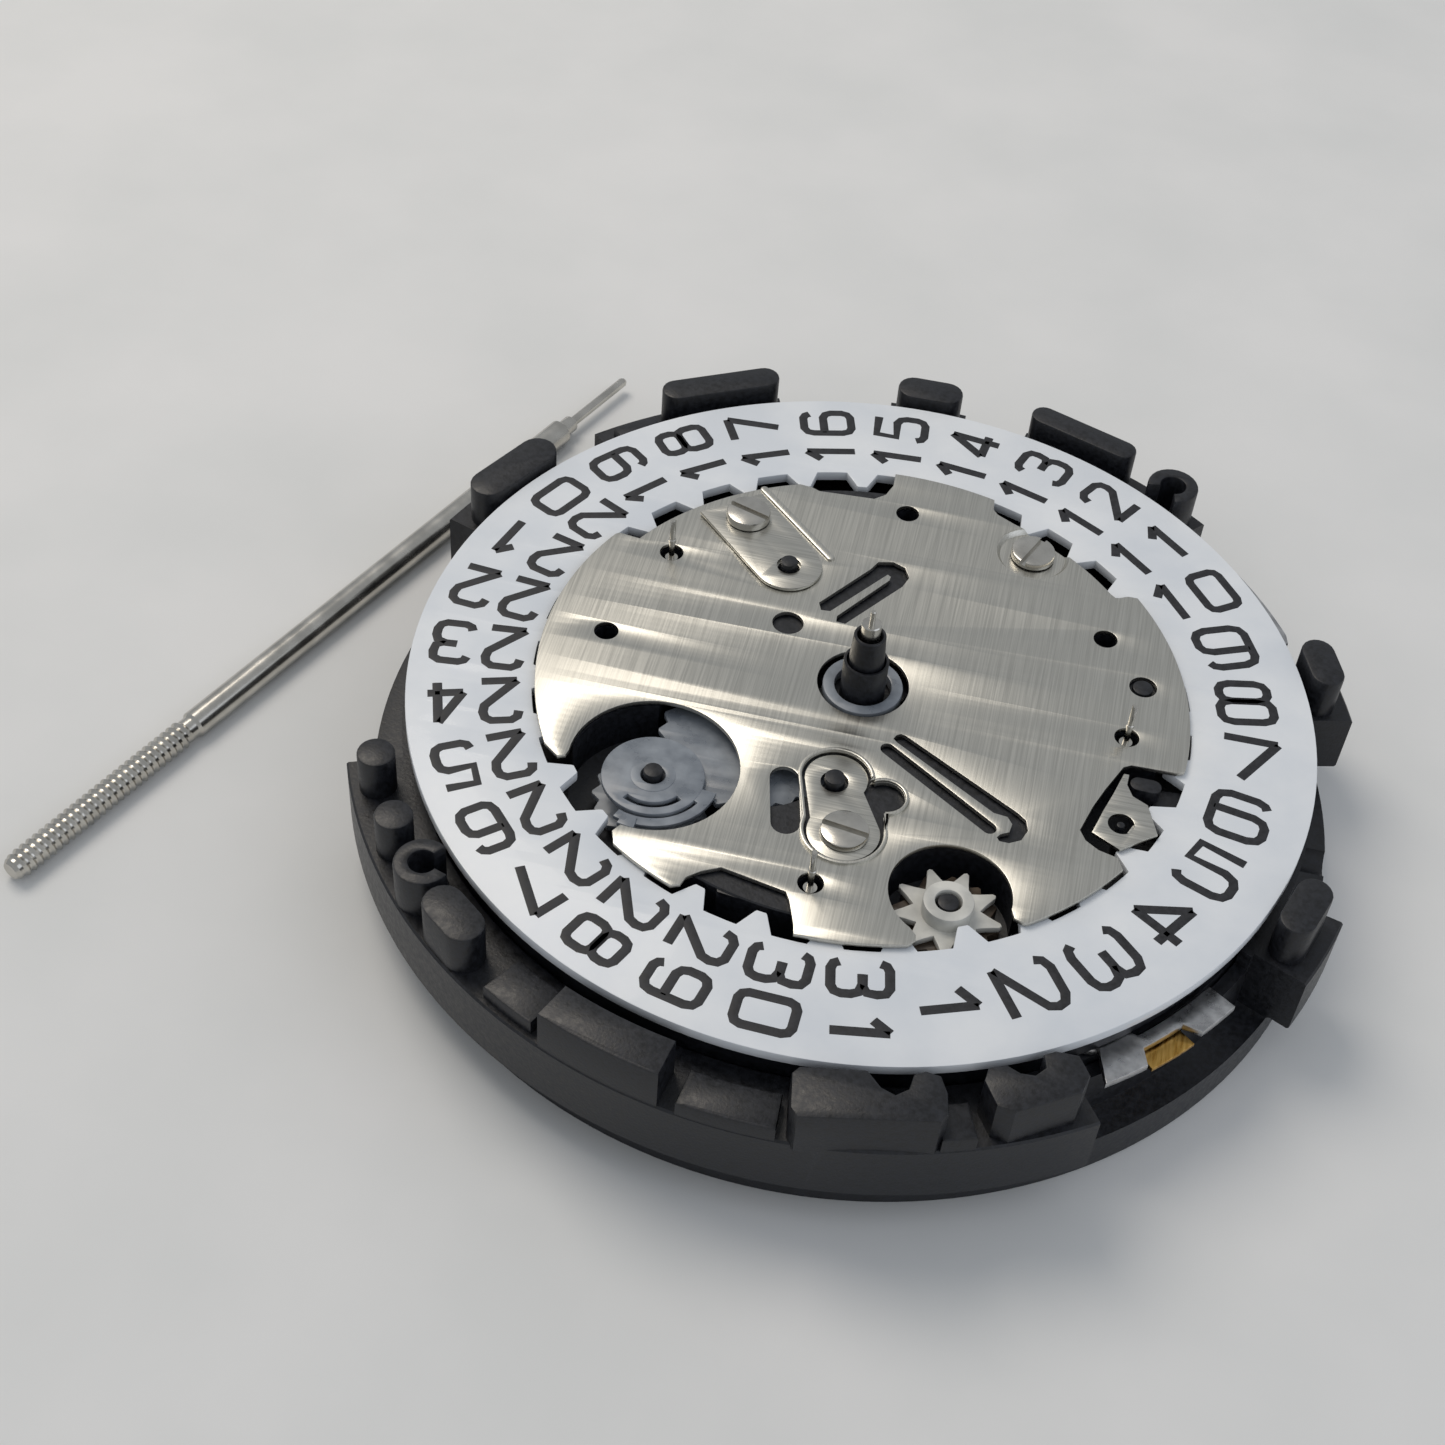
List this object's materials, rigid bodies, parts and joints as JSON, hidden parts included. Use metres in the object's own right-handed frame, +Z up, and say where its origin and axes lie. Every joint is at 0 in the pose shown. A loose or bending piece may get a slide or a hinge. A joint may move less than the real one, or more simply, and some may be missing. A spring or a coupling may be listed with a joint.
{
  "type": "watch movement holder",
  "caption": "Moulded watch movement holder ring with a calendar movement seated in it, dial side up, and its winding stem lying beside it.",
  "frame": {"origin": "on the movement's centre axis at the plane of the holder ring's case seat (its underside)", "axes": "+Z up through the hand arbors, towards the dial; +X towards 3 o'clock, the stem's way; +Y towards 12 o'clock"},
  "size_m": [0.0384, 0.0331, 0.0081],
  "materials": {
    "black_moulding": "fine moulded texture",
    "white_ring": "printed numerals",
    "brushed_plate": "straight brushed",
    "bright_steel": "turned bright",
    "natural_nylon": "translucent",
    "white_acetal": "moulded",
    "brass": "satin",
    "copper_wire": "enamelled wire",
    "soft_iron": "dull",
    "board_green": "solder mask"
  },
  "bodies": {
    "holder": {"holder_ring": "black_moulding", "main_plate": "black_moulding", "guard_plate": "brushed_plate", "rib_clamp": "brushed_plate", "eight_clamp": "brushed_plate", "clamp_screw": "bright_steel", "eight_screw": "bright_steel", "plate_screw": "bright_steel", "dial_washer": "natural_nylon", "contact_spring": "brass", "train_bridge": "brushed_plate", "circuit_board": "board_green", "circuit_cover": "brushed_plate", "battery": "bright_steel", "battery_strap": "brushed_plate", "cover_screw_1": "bright_steel", "cover_screw_2": "bright_steel", "cover_screw_3": "bright_steel", "cover_screw_4": "bright_steel", "seconds_stator": "soft_iron", "seconds_coil": "copper_wire", "chrono_stator": "soft_iron", "chrono_coil": "copper_wire", "counter_10_stator": "soft_iron", "counter_10_coil": "copper_wire", "counter_3_stator": "soft_iron", "counter_3_coil": "copper_wire"},
    "date_ring": {"date_ring": "white_ring"},
    "date_jumper": {"date_jumper": "brushed_plate"},
    "hour_wheel": {"hour_wheel": "black_moulding"},
    "cannon_pinion": {"cannon_pinion": "black_moulding"},
    "minute_wheel": {"minute_wheel": "white_acetal"},
    "date_intermediate_wheel": {"date_intermediate_wheel": "white_acetal"},
    "date_driving_wheel": {"date_driving_wheel": "natural_nylon"},
    "corrector": {"corrector_star": "white_acetal", "corrector_gear": "natural_nylon"},
    "small_seconds_arbor": {"small_seconds_arbor": "bright_steel"},
    "third_wheel": {"third_wheel": "brass"},
    "minute_drive_wheel": {"minute_drive_wheel": "brass"},
    "idler_wheel": {"idler_wheel": "brass"},
    "centre_wheel": {"centre_wheel": "brass"},
    "chrono_seconds_arbor": {"chrono_seconds_arbor": "bright_steel"},
    "counter_10_arbor": {"counter_10_arbor": "bright_steel"},
    "counter_3_arbor": {"counter_3_arbor": "bright_steel"},
    "upper_pusher_lever": {"upper_pusher_lever": "bright_steel"},
    "lower_pusher_lever": {"lower_pusher_lever": "bright_steel"},
    "setting_lever": {"setting_lever": "brushed_plate"},
    "yoke": {"yoke": "brushed_plate"},
    "stem": {"stem": "bright_steel"},
    "seconds_intermediate": {"seconds_intermediate": "white_acetal"},
    "seconds_rotor": {"seconds_rotor": "soft_iron"},
    "chrono_intermediate": {"chrono_intermediate": "white_acetal"},
    "chrono_rotor": {"chrono_rotor": "soft_iron"},
    "counter_10_intermediate": {"counter_10_intermediate": "white_acetal"},
    "counter_10_rotor": {"counter_10_rotor": "soft_iron"},
    "counter_3_intermediate": {"counter_3_intermediate": "white_acetal"},
    "counter_3_rotor": {"counter_3_rotor": "soft_iron"}
  },
  "joints": [
    {"name": "date_ring_turn", "type": "hinge", "parent": "holder", "child": "date_ring", "pos_m": [0, 0, 0.0045], "axis": [0, 0, 1], "continuous": true, "deforming": ["date_jumper"]},
    {"name": "date_jumper_click", "type": "hinge", "parent": "holder", "child": "date_jumper", "pos_m": [0.0081, -0.0016, 0.0049], "axis": [0, 0, 1], "range_deg": [-6, 0], "stiffness_Nm_per_rad": 0.0000002},
    {"name": "hour_wheel_turn", "type": "hinge", "parent": "holder", "child": "hour_wheel", "pos_m": [0, 0, 0.004], "axis": [0, 0, 1], "continuous": true},
    {"name": "cannon_pinion_turn", "type": "hinge", "parent": "holder", "child": "cannon_pinion", "pos_m": [0, 0, 0.004], "axis": [0, 0, 1], "continuous": true},
    {"name": "minute_wheel_turn", "type": "hinge", "parent": "holder", "child": "minute_wheel", "pos_m": [0.00226, 0.00082, 0.0036], "axis": [0, 0, 1], "continuous": true},
    {"name": "date_intermediate_turn", "type": "hinge", "parent": "holder", "child": "date_intermediate_wheel", "pos_m": [-0.00282, -0.00274, 0.004], "axis": [0, 0, 1], "continuous": true},
    {"name": "date_driving_turn", "type": "hinge", "parent": "holder", "child": "date_driving_wheel", "pos_m": [-0.0052, -0.00505, 0.004], "axis": [0, 0, 1], "continuous": true},
    {"name": "corrector_turn", "type": "hinge", "parent": "holder", "child": "corrector", "pos_m": [0.0038, -0.00745, 0.004], "axis": [0, 0, 1], "continuous": true},
    {"name": "small_seconds_turn", "type": "hinge", "parent": "holder", "child": "small_seconds_arbor", "pos_m": [0, -0.00795, 0.002], "axis": [0, 0, 1], "continuous": true},
    {"name": "third_wheel_turn", "type": "hinge", "parent": "holder", "child": "third_wheel", "pos_m": [0.00223, -0.00672, 0.002], "axis": [0, 0, 1], "continuous": true},
    {"name": "minute_drive_turn", "type": "hinge", "parent": "holder", "child": "minute_drive_wheel", "pos_m": [0.00116, -0.00441, 0.002], "axis": [0, 0, 1], "continuous": true},
    {"name": "idler_turn", "type": "hinge", "parent": "holder", "child": "idler_wheel", "pos_m": [-0.00031, -0.00356, 0.002], "axis": [0, 0, 1], "continuous": true},
    {"name": "centre_wheel_turn", "type": "hinge", "parent": "holder", "child": "centre_wheel", "pos_m": [0, 0, 0.002], "axis": [0, 0, 1], "continuous": true},
    {"name": "chrono_seconds_turn", "type": "hinge", "parent": "holder", "child": "chrono_seconds_arbor", "pos_m": [0, 0, 0.002], "axis": [0, 0, 1], "continuous": true},
    {"name": "counter_10_turn", "type": "hinge", "parent": "holder", "child": "counter_10_arbor", "pos_m": [-0.00688, 0.00398, 0.002], "axis": [0, 0, 1], "continuous": true},
    {"name": "counter_3_turn", "type": "hinge", "parent": "holder", "child": "counter_3_arbor", "pos_m": [0.00795, 0, 0.002], "axis": [0, 0, 1], "continuous": true},
    {"name": "seconds_intermediate_turn", "type": "hinge", "parent": "holder", "child": "seconds_intermediate", "pos_m": [-0.00162, -0.00909, 0.0015], "axis": [0, 0, 1], "continuous": true},
    {"name": "seconds_rotor_turn", "type": "hinge", "parent": "holder", "child": "seconds_rotor", "pos_m": [-0.00325, -0.0088, 0.0015], "axis": [0, 0, 1], "continuous": true},
    {"name": "chrono_intermediate_turn", "type": "hinge", "parent": "holder", "child": "chrono_intermediate", "pos_m": [-0.00171, 0.00099, 0.0015], "axis": [0, 0, 1], "continuous": true},
    {"name": "chrono_rotor_turn", "type": "hinge", "parent": "holder", "child": "chrono_rotor", "pos_m": [-0.00254, 0.00242, 0.0015], "axis": [0, 0, 1], "continuous": true},
    {"name": "counter_10_intermediate_turn", "type": "hinge", "parent": "holder", "child": "counter_10_intermediate", "pos_m": [-0.00868, 0.00314, 0.0015], "axis": [0, 0, 1], "continuous": true},
    {"name": "counter_10_rotor_turn", "type": "hinge", "parent": "holder", "child": "counter_10_rotor", "pos_m": [-0.00911, 0.00154, 0.0015], "axis": [0, 0, 1], "continuous": true},
    {"name": "counter_3_intermediate_turn", "type": "hinge", "parent": "holder", "child": "counter_3_intermediate", "pos_m": [0.00761, -0.00195, 0.0015], "axis": [0, 0, 1], "continuous": true},
    {"name": "counter_3_rotor_turn", "type": "hinge", "parent": "holder", "child": "counter_3_rotor", "pos_m": [0.00843, -0.00338, 0.0015], "axis": [0, 0, 1], "continuous": true},
    {"name": "upper_lever_press", "type": "hinge", "parent": "holder", "child": "upper_pusher_lever", "pos_m": [0.00816, 0.00973, 0.00372], "axis": [0, 0, 1], "range_deg": [-3, 0], "stiffness_Nm_per_rad": 0.000002},
    {"name": "lower_lever_press", "type": "hinge", "parent": "holder", "child": "lower_pusher_lever", "pos_m": [0.00816, -0.00973, 0.0033], "axis": [0, 0, 1], "range_deg": [0, 3], "stiffness_Nm_per_rad": 0.000002},
    {"name": "setting_lever_turn", "type": "hinge", "parent": "holder", "child": "setting_lever", "pos_m": [0.011, 0.0018, 0.0016], "axis": [0, 0, 1], "range_deg": [0, 8]},
    {"name": "yoke_turn", "type": "hinge", "parent": "holder", "child": "yoke", "pos_m": [0.0106, -0.0025, 0.0016], "axis": [0, 0, 1], "range_deg": [-8, 0]},
    {"name": "stem_pull", "type": "slide", "parent": "holder", "child": "stem", "axis": [-0.3811, -0.9245, 0], "range_m": [0, 0.0015]}
  ],
  "couplings": [
    {"joint": "cannon_pinion_turn", "follows": "hour_wheel_turn", "ratio": 12},
    {"joint": "minute_wheel_turn", "follows": "hour_wheel_turn", "ratio": -4},
    {"joint": "date_intermediate_turn", "follows": "hour_wheel_turn", "ratio": -0.5},
    {"joint": "date_driving_turn", "follows": "hour_wheel_turn", "ratio": 0.5},
    {"joint": "seconds_intermediate_turn", "follows": "small_seconds_turn", "ratio": -2.6667},
    {"joint": "seconds_rotor_turn", "follows": "small_seconds_turn", "ratio": 7.1111},
    {"joint": "chrono_intermediate_turn", "follows": "chrono_seconds_turn", "ratio": -2.6667},
    {"joint": "chrono_rotor_turn", "follows": "chrono_seconds_turn", "ratio": 7.1111},
    {"joint": "counter_10_intermediate_turn", "follows": "counter_10_turn", "ratio": -2.6667},
    {"joint": "counter_10_rotor_turn", "follows": "counter_10_turn", "ratio": 7.1111},
    {"joint": "counter_3_intermediate_turn", "follows": "counter_3_turn", "ratio": -2.6667},
    {"joint": "counter_3_rotor_turn", "follows": "counter_3_turn", "ratio": 7.1111},
    {"joint": "third_wheel_turn", "follows": "small_seconds_turn", "ratio": -0.25},
    {"joint": "minute_drive_turn", "follows": "small_seconds_turn", "ratio": 0.0625},
    {"joint": "idler_turn", "follows": "small_seconds_turn", "ratio": -0.041667},
    {"joint": "centre_wheel_turn", "follows": "small_seconds_turn", "ratio": 0.016667},
    {"joint": "yoke_turn", "follows": "setting_lever_turn", "ratio": -1}
  ]
}
